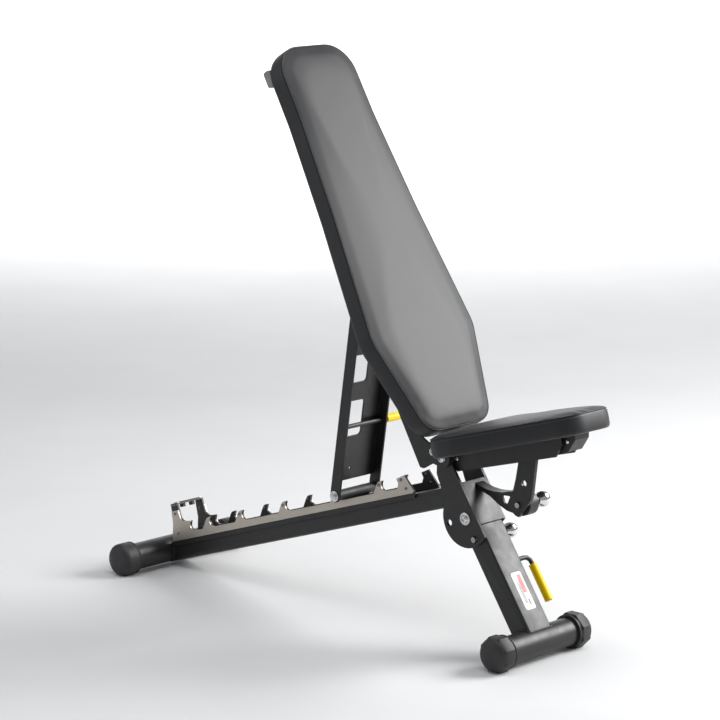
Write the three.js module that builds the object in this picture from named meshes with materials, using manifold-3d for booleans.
// Adjustable weight bench: ladder frame, folding front leg, tilting seat, reclining backrest, prop strut.
// Millimetres, +Z up, +X towards the front leg, origin on the floor at the middle of the footprint.
import * as THREE from "three";
import Module from "manifold-3d";

const wasm = await Module();
wasm.setup();

const GAP = 0.3;
const ROUND = 28;

// The drawing frame has its origin on the floor below the front foot; the part is then moved along X.
const CENTRE_SHIFT_X = 492.32;

const SEAT_PIVOT = [-221, 394];
const LEG_PIVOT = [-163.5, 274];
const REAR_FOOT_AXIS = [-1092, 36];
const BEAM_ORIGIN = [-1040, 36];
const BEAM_ANGLE = 18;
const LEG_ANGLE = 124;
const SEAT_ANGLE = 15.5;
const BACK_ANGLE = 120;
const STRUT_ROLLER_AXIS = [-520, 263.9];
const STRUT_PIVOT = [-451.6, 712.7];

const FOOT_RADIUS = 30;
const FOOT_WALL = 3;
const FOOT_CAP_LENGTH = 46;
const FOOT_CAP_FLOOR = 10;
const FOOT_AXIS_HEIGHT = 36;
const REAR_CAP_RADIUS = 37;
const REAR_FOOT_HALF = 186;
const FRONT_FOOT_HALF = 145;
const FRONT_CAP_SIDES = 8;
const LEG_LENGTH = 287.1;

const BEAM_HALF_WIDTH = 35;
const BEAM_BOTTOM = -15.5;
const BEAM_TOP = 26.5;
const TUBE_WALL = 3;
const TUBE_CORNER = 5;

const LADDER_INNER = BEAM_HALF_WIDTH + GAP;
const LADDER_OUTER = 40;
const WEAR_INNER = LADDER_OUTER + GAP;
const WEAR_OUTER = 42.3;
const TOOTH_TIPS = [132, 243, 388.5, 557, 693];
const HOOK_TIP = 64;
const NOTCH_OFFSET = 8;
const NOTCH_RADIUS = 12;
const NOTCH_HEIGHT = 56.2;
const LADDER_FLOOR = NOTCH_HEIGHT - NOTCH_RADIUS;

const BRACKET_INNER = BEAM_HALF_WIDTH + GAP;
const BRACKET_OUTER = 41.3;
const BRACKET_TOP_RADIUS = 22;
const NEAR_LOBE_RADIUS = 62;
const FAR_LOBE_RADIUS = 34;
const PIVOT_BOLT_RADIUS = 7;
const PIVOT_BORE = PIVOT_BOLT_RADIUS + GAP;
const WEB_INNER = 25.3;
const WEB_OUTER = 28.3;

const LOCK_PIN_RADIUS = 6;
const LOCK_BORE = LOCK_PIN_RADIUS + GAP;
const LOCK_HOLE = 7;
const BARREL_RADIUS = 10;
const KNOB_RADIUS = 17.5;
const LEG_PIN_REACH = 47;
const LEG_STOWED_ANGLE = 200;
const SEAT_PIN_AXIS = [-48.2, 317.4];
const SEAT_LOWERED_HOLE = [-34.3, 364.8];

const HANDLE_RADIUS = 5;
const GRIP_RADIUS = 9;
const LEG_GRIP_TOP = -130;
const LEG_GRIP_LENGTH = 84;

const CHANNEL_HALF = 30;
const CHANNEL_WALL = 3;
const CHANNEL_TOP = 10;
const SEAT_PAD_SEAM = 47;
const SEAT_SKIRT = 5;
const PAD_BEVEL = 10;
const BOARD_THICKNESS = 6;
const BOARD_INSET = 10;

const HINGE_INNER = 44.5;
const HINGE_OUTER = 50.5;
const SPINE_HALF = 30;
const SPINE_BACK = -60;
const SPINE_FRONT = -28;
const PAD_BACK = -8;
const BACK_PAD_SEAM = 36;
const BACK_PAD_BEVEL = 6;
const CROSS_TUBE_HALF = 95;
const CROSS_TUBE_WIDTH = 36;
const CROSS_TUBE_AT = [170, 520, 881];

const FLANGE_INNER = 58;
const FLANGE_OUTER = 62;
const FLANGE_HALF_DEPTH = 14;
const STRUT_WEB_INNER = 10;
const ROLLER_RADIUS = 11.5;
const STRUT_BOLT_RADIUS = 5;
const STRUT_BORE = STRUT_BOLT_RADIUS + GAP;
const STRUT_HANDLE_AT = 155;
const WEB_WINDOW_SPAN = [-42, 8];

const FINISHES = {
  black_steel: [0x1b1b1d, 0.5, 0.45],
  stainless: [0xb9bbbd, 1, 0.35],
  chrome: [0xd8dadc, 1, 0.12],
  vinyl: [0x26272a, 0, 0.5],
  board: [0x1a1a1b, 0, 0.8],
  rubber: [0x202022, 0, 0.7],
  grip: [0xe8c61c, 0, 0.55],
  grey_plastic: [0x8d8f92, 0, 0.6],
};

const part = new THREE.Group();
part.name = "weight_bench";

function frameAt(origin, degrees, flipped = false) {
  const a = THREE.MathUtils.degToRad(degrees);
  const along = [Math.cos(a), Math.sin(a)];
  const side = flipped ? -1 : 1;
  return { origin, along, across: [-Math.sin(a) * side, Math.cos(a) * side], side };
}

const WORLD = frameAt([0, 0], 0);
const BEAM = frameAt(BEAM_ORIGIN, BEAM_ANGLE);
const LEG = frameAt(LEG_PIVOT, LEG_ANGLE, true);
const SEAT = frameAt(SEAT_PIVOT, SEAT_ANGLE);
const BACK = frameAt(SEAT_PIVOT, BACK_ANGLE, true);
const STRUT = frameAt(STRUT_ROLLER_AXIS, strutDegrees());

function strutDegrees() {
  const rise = STRUT_PIVOT[1] - STRUT_ROLLER_AXIS[1];
  const run = STRUT_PIVOT[0] - STRUT_ROLLER_AXIS[0];
  return THREE.MathUtils.radToDeg(Math.atan2(rise, run));
}

function at(frame, p, q) {
  return [
    frame.origin[0] + p * frame.along[0] + q * frame.across[0],
    frame.origin[1] + p * frame.along[1] + q * frame.across[1],
  ];
}

function polar(centre, radius, degrees) {
  const a = THREE.MathUtils.degToRad(degrees);
  return [centre[0] + radius * Math.cos(a), centre[1] + radius * Math.sin(a)];
}

function arc(centre, radius, from, to, steps) {
  return Array.from({ length: steps + 1 }, (_, i) => polar(centre, radius, from + ((to - from) * i) / steps));
}

function circle(centre, radius, sides = ROUND) {
  return arc(centre, radius, 0, 360 - 360 / sides, sides - 1);
}

// Rounds each corner given as [x, y, radius] with a circular arc.
function rounded(corners, steps = 5) {
  return corners.flatMap((corner, i) => {
    const before = corners[(i + corners.length - 1) % corners.length];
    const after = corners[(i + 1) % corners.length];
    return roundCorner(corner, before, after, steps);
  });
}

function roundCorner(corner, before, after, steps) {
  const radius = corner[2] ?? 0;
  const point = new THREE.Vector2(corner[0], corner[1]);
  if (radius === 0) return [[point.x, point.y]];
  const back = new THREE.Vector2(before[0], before[1]).sub(point).normalize();
  const ahead = new THREE.Vector2(after[0], after[1]).sub(point).normalize();
  const half = Math.acos(THREE.MathUtils.clamp(back.dot(ahead), -1, 1)) / 2;
  const middle = back.clone().add(ahead).normalize();
  const centre = middle.multiplyScalar(radius / Math.sin(half)).add(point);
  const start = point.clone().addScaledVector(back, radius / Math.tan(half)).sub(centre);
  const end = point.clone().addScaledVector(ahead, radius / Math.tan(half)).sub(centre);
  const from = start.angle();
  const turn = Math.atan2(start.cross(end), start.dot(end));
  return Array.from({ length: steps + 1 }, (_, i) => {
    const a = from + (turn * i) / steps;
    return [centre.x + radius * Math.cos(a), centre.y + radius * Math.sin(a)];
  });
}

function shapeOf(outline, holes = []) {
  const points = outline.map(([x, y]) => new THREE.Vector2(x, y));
  if (THREE.ShapeUtils.isClockWise(points)) points.reverse();
  const shape = new THREE.Shape(points);
  for (const hole of holes) shape.holes.push(new THREE.Path(hole.map(([x, y]) => new THREE.Vector2(x, y))));
  return shape;
}

function extruded(outline, depth, holes = [], bevel = null) {
  const options = { depth, steps: 1, bevelEnabled: bevel !== null, ...(bevel ?? {}) };
  return new THREE.ExtrudeGeometry(shapeOf(outline, holes), options);
}

// A flat plate whose outline is drawn in a side-view frame and whose thickness runs from y = low to high.
function plate(outline, low, high, holes = [], frame = WORLD) {
  const place = (points) => points.map(([p, q]) => at(frame, p, q));
  const geometry = extruded(place(outline), high - low, holes.map(place));
  const basis = new THREE.Matrix4().makeBasis(axis(1, 0, 0), axis(0, 0, 1), axis(0, -1, 0));
  geometry.applyMatrix4(basis.setPosition(0, high, 0));
  return solid(geometry);
}

// A slab whose outline (distance along the frame, y) is drawn in the plane of a pad.
function slab(frame, outline, low, high, bevel = null) {
  const geometry = extruded(outline, high - low, [], bevel);
  const [ox, oz] = at(frame, 0, low);
  const along = axis(frame.along[0], 0, frame.along[1]);
  const across = axis(frame.across[0], 0, frame.across[1]);
  const basis = new THREE.Matrix4().makeBasis(along, axis(0, frame.side, 0), across);
  geometry.applyMatrix4(basis.setPosition(ox, 0, oz));
  return solid(geometry);
}

// A rectangular tube running along a frame, with its section across Y and the frame's second axis.
function boxTube(frame, half, low, high, from, to, wall = TUBE_WALL, corner = TUBE_CORNER) {
  const inner = Math.max(corner - wall, 1);
  const outside = rectangle(half, low, high, corner);
  const inside = rectangle(half - wall, low + wall, high - wall, inner);
  const geometry = extruded(outside, to - from, [inside]);
  const [ox, oz] = at(frame, from, 0);
  const along = axis(frame.along[0], 0, frame.along[1]);
  const across = axis(frame.across[0], 0, frame.across[1]);
  const basis = new THREE.Matrix4().makeBasis(axis(0, frame.side, 0), across, along);
  geometry.applyMatrix4(basis.setPosition(ox, 0, oz));
  return solid(geometry);
}

function rectangle(half, low, high, corner) {
  const corners = [[-half, low, corner], [half, low, corner], [half, high, corner], [-half, high, corner]];
  return rounded(corners, 3);
}

// A turned piece on an axis parallel to Y; the profile lists [radius, y].
function turned(profile, centre, sides = ROUND, start = 0) {
  const closed = [...profile, profile[0]].map(([r, y]) => new THREE.Vector2(r, y));
  const geometry = new THREE.LatheGeometry(closed, sides, start);
  geometry.translate(centre[0], 0, centre[1]);
  return solid(geometry);
}

function rod(centre, radius, low, high, sides = ROUND) {
  return turned([[0, low], [radius, low], [radius, high], [0, high]], centre, sides);
}

function sleeve(centre, radius, bore, low, high, sides = ROUND) {
  return turned([[bore, low], [radius, low], [radius, high], [bore, high]], centre, sides);
}

function axis(x, y, z) {
  return new THREE.Vector3(x, y, z);
}

// Welds the corners of a geometry and hands it to the solid modeller the right way out.
function solid(geometry) {
  const position = geometry.getAttribute("position");
  const index = geometry.index ? geometry.index.array : position.array.map((_, i) => i).slice(0, position.count);
  const seen = new Map();
  const vertices = [];
  const welded = Array.from({ length: position.count }, (_, i) => weld(position, i, seen, vertices));
  const triangles = [];
  for (let i = 0; i < index.length; i += 3) {
    const [a, b, c] = [welded[index[i]], welded[index[i + 1]], welded[index[i + 2]]];
    if (a !== b && b !== c && c !== a) triangles.push(a, b, c);
  }
  if (signedVolume(vertices, triangles) < 0) triangles.reverse();
  const vertProperties = new Float32Array(vertices);
  const triVerts = new Uint32Array(triangles);
  const mesh = new wasm.Mesh({ numProp: 3, vertProperties, triVerts });
  mesh.merge();
  return new wasm.Manifold(mesh);
}

function weld(position, i, seen, vertices) {
  const point = [position.getX(i), position.getY(i), position.getZ(i)];
  const key = point.map((value) => Math.round(value * 1e3)).join(",");
  if (!seen.has(key)) {
    seen.set(key, vertices.length / 3);
    vertices.push(...point);
  }
  return seen.get(key);
}

function signedVolume(vertices, triangles) {
  let volume = 0;
  for (let i = 0; i < triangles.length; i += 3) {
    const [a, b, c] = [0, 1, 2].map((k) => new THREE.Vector3().fromArray(vertices, triangles[i + k] * 3));
    volume += a.dot(b.cross(c));
  }
  return volume;
}

function addNode(name, finish, body) {
  const mesh = body.getMesh();
  const geometry = new THREE.BufferGeometry();
  const positions = new Float32Array(mesh.numVert * 3);
  for (let i = 0; i < mesh.numVert; i += 1) {
    for (let k = 0; k < 3; k += 1) positions[i * 3 + k] = mesh.vertProperties[i * mesh.numProp + k];
  }
  geometry.setAttribute("position", new THREE.BufferAttribute(positions, 3));
  geometry.setIndex(Array.from(mesh.triVerts));
  geometry.translate(CENTRE_SHIFT_X, 0, 0);
  geometry.computeVertexNormals();
  const [color, metalness, roughness] = FINISHES[finish];
  const node = new THREE.Mesh(geometry, new THREE.MeshStandardMaterial({ color, metalness, roughness }));
  node.name = name;
  part.add(node);
}

// Makes the same piece on the near (-Y) and far (+Y) sides.
function addPair(name, finish, inner, outer, make) {
  addNode(`${name}_near`, finish, make(-outer, -inner, -1));
  addNode(`${name}_far`, finish, make(inner, outer, 1));
}

function mirrored(profile, side) {
  return profile.map(([r, y]) => [r, y * side]);
}

// Feet

// A rubber cap with a domed end; its sleeve is round, or has flats that stand it on the floor.
function footCap(centre, half, radius, side, flats = 0) {
  const mouth = half - FOOT_CAP_LENGTH;
  const lip = radius - 1.5;
  const profile = [
    [0, half],
    [radius * 0.4, half - 0.8],
    [radius * 0.7, half - 3],
    [radius * 0.88, half - 6.5],
    [radius * 0.97, half - 11],
    [radius, half - 16],
    [radius, mouth + 9],
    [lip, mouth + 7],
    [lip, mouth + 4],
    [radius, mouth + 2],
    [radius, mouth],
    [0, mouth],
  ];
  const round = turned(mirrored(profile, side), centre, 36);
  const outside = flats === 0 ? round : round.add(flatted(centre, half, side, flats));
  const [low, high] = [(mouth - 5) * side, (half - FOOT_CAP_FLOOR) * side].sort((p, q) => p - q);
  return aboveFloor(outside.subtract(rod(centre, FOOT_RADIUS + GAP, low, high, 36)));
}

function flatted(centre, half, side, flats) {
  const corner = FOOT_AXIS_HEIGHT / Math.cos(Math.PI / flats);
  const mouth = half - FOOT_CAP_LENGTH;
  const profile = [[0, half - 12], [corner - 2, half - 12], [corner, half - 15], [corner, mouth + 9], [0, mouth + 9]];
  return turned(mirrored(profile, side), centre, flats, Math.PI / flats);
}

function footTube(centre, half) {
  const end = half - FOOT_CAP_FLOOR - GAP;
  return sleeve(centre, FOOT_RADIUS, FOOT_RADIUS - FOOT_WALL, -end, end, 36);
}

function aboveFloor(body) {
  const span = 2500;
  const floor = plate([[-span, -100], [span, -100], [span, 0], [-span, 0]], -400, 400);
  return body.subtract(floor);
}

function addFeet() {
  addNode("rear_foot_tube", "black_steel", footTube(REAR_FOOT_AXIS, REAR_FOOT_HALF));
  for (const [name, side] of [["near", -1], ["far", 1]]) {
    const cap = footCap(REAR_FOOT_AXIS, REAR_FOOT_HALF, REAR_CAP_RADIUS, side);
    addNode(`rear_foot_cap_${name}`, "rubber", cap);
  }
  const axisPoint = at(LEG, -LEG_LENGTH, 0);
  addNode("front_foot_tube", "black_steel", footTube(axisPoint, FRONT_FOOT_HALF));
  for (const [name, side] of [["near", -1], ["far", 1]]) {
    const cap = footCap(axisPoint, FRONT_FOOT_HALF, FOOT_AXIS_HEIGHT, side, FRONT_CAP_SIDES);
    addNode(`front_foot_cap_${name}`, "rubber", cap);
  }
}

// Frame

function addMainBeam() {
  const start = -45;
  const end = 960;
  const reach = 200;
  const beam = boxTube(BEAM, BEAM_HALF_WIDTH, BEAM_BOTTOM, BEAM_TOP, start, end);
  const cope = rod(REAR_FOOT_AXIS, FOOT_RADIUS + GAP, -60, 60, 48);
  const mitre = [[-reach, WEB_INNER - GAP], [reach, WEB_INNER - GAP], [reach, reach], [-reach, reach]];
  addNode("main_beam", "black_steel", beam.subtract(cope).subtract(plate(mitre, -60, 60, [], LEG)));
}

function notch(tip) {
  return arc([tip + NOTCH_OFFSET, NOTCH_HEIGHT], NOTCH_RADIUS, 125, 270, 9);
}

function ladderOutline(bottom, top) {
  const rear = [[-18, bottom], [-19, 28], [-11, 32], [3.6, 71], [7, top], [30, top], [32, 79]];
  const hook = [[35, 73.5], [41, 70], [48, 68.5], [HOOK_TIP, 68.2], ...notch(HOOK_TIP)];
  const teeth = TOOTH_TIPS.flatMap((tip) => [
    [tip - 31, LADDER_FLOOR],
    [tip - 28, 48],
    [tip - 16, 62],
    [tip - 11, 66.2],
    [tip - 5, 67.5],
    [tip, 67.2],
    ...notch(tip),
  ]);
  const block = [[734, LADDER_FLOOR], [740.7, 54.3], [738.2, 65.6], [760.8, 68.8], [778.6, 33.3], [777, bottom]];
  return [...rear, ...hook, ...teeth, ...block];
}

function addLadder() {
  const plateOutline = ladderOutline(18, 110);
  addPair("ladder_plate", "black_steel", LADDER_INNER, LADDER_OUTER, (a, b) => plate(plateOutline, a, b, [], BEAM));
  const wearOutline = ladderOutline(29, 97).filter(([, v]) => v !== 28);
  addPair("wear_plate", "stainless", WEAR_INNER, WEAR_OUTER, (a, b) => plate(wearOutline, a, b, [], BEAM));
  const bridge = [[6, 110 + GAP], [30, 110 + GAP], [30, 113.3], [6, 113.3]];
  addNode("ladder_bridge", "black_steel", plate(bridge, -LADDER_OUTER, LADDER_OUTER, [], BEAM));
  for (const [name, y] of [["near", -14], ["far", 14]]) {
    const stem = [[12, 102], [24, 102], [24, 110], [12, 110]];
    addNode(`bridge_bumper_${name}`, "rubber", plate(stem, y - 4, y + 4, [], BEAM));
  }
}

function bracketOutline(lobe) {
  const top = arc(SEAT_PIVOT, BRACKET_TOP_RADIUS, 0, 180, 12);
  return [...top, [-244, 357], [-231, 325], ...lobe, at(LEG, -27, WEB_OUTER), at(LEG, 115, WEB_OUTER)];
}

function addBrackets() {
  const pivots = [circle(SEAT_PIVOT, PIVOT_BORE), circle(LEG_PIVOT, PIVOT_BORE)];
  const nearLobe = arc(LEG_PIVOT, NEAR_LOBE_RADIUS, 167, 331, 16);
  const farLobe = [[-224.5, 290], ...arc(LEG_PIVOT, FAR_LOBE_RADIUS, 175, 331, 11)];
  const pinHoles = [
    circle(at(LEG, -LEG_PIN_REACH, 0), LOCK_HOLE, 20),
    circle(polar(LEG_PIVOT, LEG_PIN_REACH, LEG_STOWED_ANGLE), LOCK_HOLE, 20),
  ];
  const near = plate(bracketOutline(nearLobe), -BRACKET_OUTER, -BRACKET_INNER, [...pivots, ...pinHoles]);
  const far = plate(bracketOutline(farLobe), BRACKET_INNER, BRACKET_OUTER, pivots);
  addNode("bracket_plate_near", "black_steel", near);
  addNode("bracket_plate_far", "black_steel", far);
  const web = [[-26, WEB_INNER], [70, WEB_INNER], [70, WEB_OUTER], [-26, WEB_OUTER]];
  addNode("post_front_web", "black_steel", plate(web, -BEAM_HALF_WIDTH, BEAM_HALF_WIDTH, [], LEG));
}

// The bent arm that holds the seat's locking pin in front of the post.
function addSeatSupportArm() {
  const thickness = 5;
  const boss = 24.5;
  const top = [at(LEG, 62, WEB_OUTER + GAP), [-165, 338], [-145, 333], [-124, 331.5], [-100, 333.5], [-75, 340]];
  const nose = arc(SEAT_PIN_AXIS, boss, 118, -90, 14);
  const lower = [[-62, 294], [-87, 297], [-109, 305.5], [-134, 320], at(LEG, 48, WEB_OUTER + GAP)];
  const cheek = [...top, ...nose, ...lower];
  const window = rounded([[-102, 327, 3], [-93, 310, 3], [-82, 314, 3], [-78, 329, 3]], 3);
  const under = top.map(([x, z]) => [x, z - thickness]).reverse();
  const arm = plate(cheek, 1, 6, [window])
    .add(plate([...top, ...under], 1, 27))
    .add(rod(SEAT_PIN_AXIS, boss, 6, 27, 32));
  const behind = [[-200, -200], [200, -200], [200, WEB_OUTER + GAP], [-200, WEB_OUTER + GAP]];
  const bored = arm.subtract(rod(SEAT_PIN_AXIS, LOCK_BORE, -5, 40, 20));
  addNode("seat_support_arm", "black_steel", bored.subtract(plate(behind, -60, 60, [], LEG)));
}

// A pivot bolt with a washer and a button head with a hex socket on the near side, and a nut on the far side.
function addPivotBolt(name, centre, reach, washerRadius) {
  const button = 8.5;
  const socket = 4.2;
  const head = [
    [0, -reach - 4],
    [socket, -reach - 4],
    [socket, -reach - 7.5],
    [button * 0.75, -reach - 6.6],
    [button, -reach - 4],
    [button, -reach - 2],
    [washerRadius, -reach - 2],
    [washerRadius, -reach],
    [PIVOT_BOLT_RADIUS, -reach],
    [PIVOT_BOLT_RADIUS, reach + 12],
    [0, reach + 12],
  ];
  addNode(`${name}_bolt`, "chrome", turned(head, centre));
  const nut = turned([[PIVOT_BORE, reach], [14, reach], [14, reach + 2], [12, reach + 2], [12, reach + 11],
    [PIVOT_BORE, reach + 11]], centre, 12);
  addNode(`${name}_nut`, "chrome", nut);
}

function addPivots() {
  addPivotBolt("main_pivot", SEAT_PIVOT, HINGE_OUTER + GAP, 9.5);
  addPivotBolt("leg_pivot", LEG_PIVOT, BRACKET_OUTER + GAP, 13.5);
}

// A sprung lock: tip and pin either side of the locked plate, a guide barrel and a ball knob to pull.
function addLock(name, centre, { tip, start, barrel, knob }) {
  addNode(`${name}_tip`, "stainless", rod(centre, LOCK_PIN_RADIUS, tip[0], tip[1], 20));
  addNode(`${name}_pin`, "stainless", rod(centre, LOCK_PIN_RADIUS, start, knob - 10, 20));
  const [low, high] = barrel;
  const body = turned([[LOCK_BORE, low], [BARREL_RADIUS + 2, low], [BARREL_RADIUS + 2, low + 5],
    [BARREL_RADIUS, low + 5], [BARREL_RADIUS, high - 2], [BARREL_RADIUS - 2, high], [LOCK_BORE, high]], centre, 24);
  addNode(`${name}_barrel`, "black_steel", body);
  const ball = arc([0, knob], KNOB_RADIUS, -50, 90, 9).filter(([r]) => r > 0.01);
  const neck = [[LOCK_BORE, knob - 10 + GAP], [LOCK_BORE + 3, knob - KNOB_RADIUS]];
  const seat = [[0, knob - 10 + GAP]];
  addNode(`${name}_knob`, "chrome", turned([...seat, ...neck, ...ball, [0, knob + KNOB_RADIUS]], centre, 24));
}

// Front leg

function addLeg() {
  const half = 25;
  const bottom = -270;
  const tube = boxTube(LEG, BEAM_HALF_WIDTH, -half, half, bottom, half);
  const crown = arc([0, 0], half, -90, 40, 10);
  const side = [[bottom, half], [bottom, -half], ...crown, [-27, half]];
  const foot = rod(at(LEG, -LEG_LENGTH, 0), FOOT_RADIUS + GAP, -60, 60, 48);
  const leg = tube
    .intersect(plate(side, -60, 60, [], LEG))
    .subtract(foot)
    .subtract(rod(LEG_PIVOT, PIVOT_BORE, -60, 60))
    .subtract(rod(at(LEG, -LEG_PIN_REACH, 0), LOCK_BORE, -60, 60, 20));
  addNode("front_leg", "black_steel", leg);
  const inside = BEAM_HALF_WIDTH - TUBE_WALL - GAP;
  addNode("leg_pivot_sleeve", "black_steel", sleeve(LEG_PIVOT, 12, PIVOT_BORE, -inside, inside));
}

// The carrying handle runs out of the far wall of the leg and then down beside it.
function addLegHandle() {
  const bend = 16;
  const far = 88;
  const start = BEAM_HALF_WIDTH + GAP;
  const [rx, rz] = at(LEG, -112, 0);
  const [bx, bz] = at(LEG, -112 - bend, 0);
  const [gx, gz] = at(LEG, LEG_GRIP_TOP - LEG_GRIP_LENGTH + 4, 0);
  const path = new THREE.CurvePath();
  path.add(new THREE.LineCurve3(axis(rx, start, rz), axis(rx, far - bend, rz)));
  path.add(new THREE.QuadraticBezierCurve3(axis(rx, far - bend, rz), axis(rx, far, rz), axis(bx, far, bz)));
  path.add(new THREE.LineCurve3(axis(bx, far, bz), axis(gx, far, gz)));
  const section = shapeOf(circle([0, 0], HANDLE_RADIUS, 16));
  const geometry = new THREE.ExtrudeGeometry(section, { steps: 16, extrudePath: path, bevelEnabled: false });
  addNode("leg_handle_rod", "black_steel", solid(geometry));
  addNode("leg_handle_grip", "grip", legGrip(far));
}

function legGrip(y) {
  const [x, z] = at(LEG, LEG_GRIP_TOP, 0);
  const bore = HANDLE_RADIUS + GAP;
  const end = -LEG_GRIP_LENGTH;
  const outside = [[bore, 0], [GRIP_RADIUS, 0], [GRIP_RADIUS, end + 2], [GRIP_RADIUS - 2, end], [0, end]];
  const profile = [...outside, [0, end + 4 - GAP], [bore, end + 4 - GAP]];
  const closed = [...profile, profile[0]].map(([r, h]) => new THREE.Vector2(r, h));
  const geometry = new THREE.LatheGeometry(closed, 20);
  const across = axis(LEG.across[0], 0, LEG.across[1]);
  const basis = new THREE.Matrix4().makeBasis(across, axis(LEG.along[0], 0, LEG.along[1]), axis(0, 1, 0));
  geometry.applyMatrix4(basis.setPosition(x, y, z));
  return solid(geometry);
}

// Seat

function seatPadOutline(inset) {
  const rear = 34 + inset;
  const front = 380.6 - inset;
  const wide = 147 - inset;
  const narrow = 75 - inset;
  const half = [[rear, wide, 42 - inset / 2], [100, wide, 60], [325, narrow + 7, 60], [front, narrow - 4, 54]];
  const other = half.map(([p, y, r]) => [p, -y, r]).reverse();
  return rounded([...half, ...other], 6);
}

function bevelled(size, thickness) {
  return { bevelSize: size, bevelThickness: thickness, bevelOffset: -size, bevelSegments: 3 };
}

// An upholstered pad: straight sides up to the seam, a bevelled crown, a pocket for its board and a hanging skirt.
function pad(frame, outlineAt, bottom, seam, crown, skirt = 0) {
  const bevel = bevelled(crown * 1.6, crown);
  const block = slab(frame, outlineAt(0), bottom - crown, seam, bevel);
  const pocket = slab(frame, outlineAt(BOARD_INSET - GAP), bottom - 4 * crown, bottom + BOARD_THICKNESS + GAP);
  const under = slab(frame, outlineAt(-20), bottom - 4 * crown, bottom - skirt);
  return block.subtract(under).subtract(pocket);
}

function addSeat() {
  const bottom = CHANNEL_TOP + GAP;
  const relief = [[0, -20], [60, -20], [60, bottom], [0, bottom]];
  const cushion = pad(SEAT, seatPadOutline, bottom, SEAT_PAD_SEAM, PAD_BEVEL, SEAT_SKIRT);
  addNode("seat_pad", "vinyl", cushion.subtract(plate(relief, -CHANNEL_HALF - GAP, CHANNEL_HALF + GAP, [], SEAT)));
  addNode("seat_board", "board", slab(SEAT, seatPadOutline(BOARD_INSET), bottom, bottom + BOARD_THICKNESS));
  const ear = arc([0, 0], 16, 50, 265, 12);
  const side = [...ear, [8, -17], [16, -33], [290, -33], [312, -10], [312, CHANNEL_TOP], [22, CHANNEL_TOP]];
  const inner = CHANNEL_HALF - CHANNEL_WALL;
  const under = CHANNEL_TOP - CHANNEL_WALL;
  const hollow = [[-40, 40], [20, 40], [20, under], [340, under], [340, -60], [-40, -60]];
  const channel = plate(side, -CHANNEL_HALF, CHANNEL_HALF, [], SEAT)
    .subtract(plate(hollow, -inner, inner, [], SEAT))
    .subtract(rod(SEAT_PIVOT, PIVOT_BORE, -60, 60));
  addNode("seat_channel", "black_steel", channel);
  addNode("seat_pivot_sleeve", "black_steel", sleeve(SEAT_PIVOT, 11, PIVOT_BORE, -inner + GAP, inner - GAP));
  const plug = [[300, 6.7], [300, -28], [317, -27], [341, -6], [344, 6.7]];
  addNode("seat_nose_plug", "black_steel", plate(plug, -22, 22, [], SEAT));
}

function addSeatLockPlate() {
  const under = CHANNEL_TOP - CHANNEL_WALL - GAP;
  const outline = [at(SEAT, 214, under), at(SEAT, 167, under), [-50, 405], [-56, 372], [-62.5, 347], [-78, 315],
    [-69, 303], [-56, 294], [-47, 292], [-37, 304], [-15.5, 332], [-12, 346], [-3, 417]];
  const holes = [circle(SEAT_PIN_AXIS, LOCK_HOLE, 20), circle(SEAT_LOWERED_HOLE, LOCK_HOLE, 20)];
  addNode("seat_lock_plate", "black_steel", plate(outline, -9, -1, holes));
}

// Backrest

function backPadOutline(inset) {
  const half = [
    [50 + inset, 97 - inset, 50 - inset],
    [262, 156 - inset, 70],
    [540, 126 - inset, 200],
    [760, 110 - inset, 200],
    [928 - inset, 108 - inset, 68 - inset / 2],
  ];
  const other = half.map(([p, y, r]) => [p, -y, r]).reverse();
  return rounded([...half, ...other], 6);
}

function addBackrest() {
  addNode("backrest_pad", "vinyl", pad(BACK, backPadOutline, PAD_BACK, BACK_PAD_SEAM, BACK_PAD_BEVEL));
  const board = slab(BACK, backPadOutline(BOARD_INSET), PAD_BACK, PAD_BACK + BOARD_THICKNESS);
  addNode("backrest_board", "board", board);
  const spine = boxTube(BACK, SPINE_HALF, SPINE_BACK, SPINE_FRONT, 95, 900);
  addNode("backrest_spine", "black_steel", spine.subtract(rod(STRUT_PIVOT, STRUT_BORE, -60, 60)));
  CROSS_TUBE_AT.forEach((e1, i) => {
    addNode(`backrest_cross_tube_${["lower", "middle", "upper"][i]}`, "black_steel", crossTube(e1));
  });
  addPair("cross_tube_end", "grey_plastic", CROSS_TUBE_HALF + GAP, CROSS_TUBE_HALF + 4, (low, high) =>
    plate(crossSection(CROSS_TUBE_AT[2], 0), low, high, [], BACK));
}

function crossSection(e1, inset) {
  const half = CROSS_TUBE_WIDTH / 2 - inset;
  const front = PAD_BACK - GAP - inset;
  const back = SPINE_FRONT + GAP + inset;
  const r = 5 - inset;
  return rounded([[e1 - half, back, r], [e1 + half, back, r], [e1 + half, front, r], [e1 - half, front, r]], 3);
}

function crossTube(e1) {
  return plate(crossSection(e1, 0), -CROSS_TUBE_HALF, CROSS_TUBE_HALF, [crossSection(e1, 2.5)], BACK);
}

function addHingePlates() {
  const outline = [[180, -35], [180, -68], [6, -68], [0, -60], [0, -30], ...hingeLug(), [34, -16], [64, -34]];
  const bore = [circle([0, 0], PIVOT_BORE)];
  addPair("hinge_plate", "black_steel", HINGE_INNER, HINGE_OUTER, (a, b) => plate(outline, a, b, bore, BACK));
  const block = [[105, -54], [175, -54], [175, -40], [105, -40]];
  addPair("hinge_spacer", "black_steel", SPINE_HALF + GAP, HINGE_INNER - GAP, (a, b) =>
    plate(block, a, b, [], BACK));
}

// The rounded ear of a hinge plate, from behind the pivot round its lower side to the front.
function hingeLug() {
  return arc([0, 0], 20, 220, 20, 12);
}

// Strut

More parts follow.
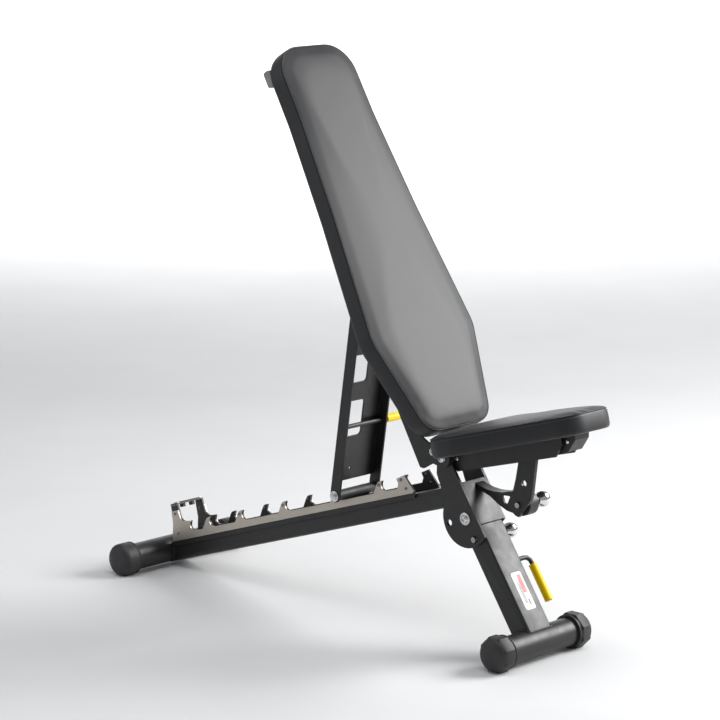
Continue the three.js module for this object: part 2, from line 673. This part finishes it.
function addStrut() {
  const length = Math.hypot(STRUT_PIVOT[0] - STRUT_ROLLER_AXIS[0], STRUT_PIVOT[1] - STRUT_ROLLER_AXIS[1]);
  const depth = FLANGE_HALF_DEPTH;
  const flange = [...arc([0, 0], depth, 90, 270, 10), ...arc([length, 0], depth, -90, 90, 10)];
  const bores = [0, length].map((s) => circle([s, 0], STRUT_BORE, 16));
  const handleBore = circle([STRUT_HANDLE_AT, 0], STRUT_BORE, 16);
  const near = plate(flange, -FLANGE_OUTER, -FLANGE_INNER, bores, STRUT);
  const far = plate(flange, FLANGE_INNER, FLANGE_OUTER, [...bores, handleBore], STRUT);
  const inside = FLANGE_INNER + 1;
  const web = plate([[27, STRUT_WEB_INNER], [340, STRUT_WEB_INNER], [340, depth], [27, depth]], -inside, inside,
    [], STRUT);
  const channel = near.add(web).add(far).subtract(webWindows(depth));
  addNode("strut_channel", "black_steel", channel);
  const inner = FLANGE_INNER - GAP;
  addNode("strut_roller", "rubber", sleeve(STRUT_ROLLER_AXIS, ROLLER_RADIUS, STRUT_BORE, -inner, inner));
  addStrutBolt("strut_axle", STRUT_ROLLER_AXIS, 12);
  addStrutBolt("strut_pivot", STRUT_PIVOT, 10);
}

function webWindows(depth) {
  const [near, far] = WEB_WINDOW_SPAN;
  const windows = [[127, 207], [248, 309]].map(([from, to]) =>
    rounded([[from, near, 8], [to, near, 8], [to, far, 8], [from, far, 8]], 4));
  const holes = [...windows, circle([53, -13], 3, 12)];
  return holes.map((hole) => slab(STRUT, hole, 0, depth + 10)).reduce((all, one) => all.add(one));
}

function addStrutBolt(name, centre, washer) {
  const face = FLANGE_OUTER + GAP;
  const bolt = turned([[0, -face - 9], [5, -face - 8.5], [8, -face - 6], [8, -face - 2.5], [washer, -face - 2.5],
    [washer, -face], [STRUT_BOLT_RADIUS, -face], [STRUT_BOLT_RADIUS, face + 11], [0, face + 11]], centre, 24);
  addNode(`${name}_bolt`, "chrome", bolt);
  const nut = turned([[STRUT_BORE, face], [washer, face], [washer, face + 2.5], [8.5, face + 2.5],
    [8.5, face + 9.5], [STRUT_BORE, face + 9.5]], centre, 12);
  addNode(`${name}_nut`, "chrome", nut);
}

function addStrutHandle() {
  const centre = at(STRUT, STRUT_HANDLE_AT, 0);
  const collar = FLANGE_OUTER + GAP;
  const start = -FLANGE_INNER + GAP;
  const bar = turned([[0, start], [HANDLE_RADIUS, start], [HANDLE_RADIUS, collar], [9, collar], [9, collar + 6],
    [HANDLE_RADIUS, collar + 6], [HANDLE_RADIUS, 158], [0, 158]], centre, 20);
  addNode("strut_handle_rod", "black_steel", bar);
  const grip = turned([[0, 165], [GRIP_RADIUS - 2, 165], [GRIP_RADIUS, 163], [GRIP_RADIUS, 71], [HANDLE_RADIUS + GAP,
    71], [HANDLE_RADIUS + GAP, 158 + GAP], [0, 158 + GAP]], centre, 24);
  addNode("strut_handle_grip", "grip", grip);
}

addFeet();
addMainBeam();
addLadder();
addBrackets();
addSeatSupportArm();
addPivots();
addLeg();
addLegHandle();
addLock("leg_lock", at(LEG, -LEG_PIN_REACH, 0), { tip: [-47, -41.6], start: -34.9, barrel: [35.3, 50], knob: 68 });
addSeat();
addSeatLockPlate();
addLock("seat_lock", SEAT_PIN_AXIS, { tip: [-14, -9.3], start: -0.7, barrel: [27.3, 48], knob: 66 });
addBackrest();
addHingePlates();
addStrut();
addStrutHandle();

export default part;
